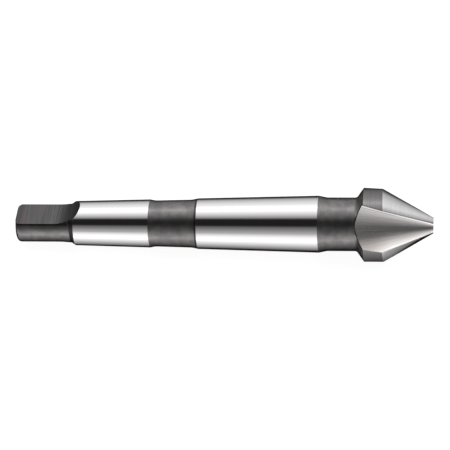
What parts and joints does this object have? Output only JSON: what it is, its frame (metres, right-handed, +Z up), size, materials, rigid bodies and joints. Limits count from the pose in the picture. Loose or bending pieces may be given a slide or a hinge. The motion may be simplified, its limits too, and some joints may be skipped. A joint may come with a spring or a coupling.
{
  "type": "countersink bit",
  "caption": "Fluted cone-shaped countersink cutter with a short margin and neck on a self-holding taper shank that ends in a flat tang.",
  "frame": {"origin": "on the tool's axis, in the gauge plane of the taper shank, where its diameter is 12.065 mm", "axes": "+X along the tool's axis towards the cutting tip, +Z up, square to the flats of the tang"},
  "size_m": [0.09, 0.016, 0.015],
  "materials": {
    "tool_steel": "ground bright on the taper, the cutting cone and the flutes; dark and satin on the tang, the recess, the neck and the back of the head"
  },
  "bodies": {
    "root": {"countersink_bit": "tool_steel"}
  },
  "joints": []
}
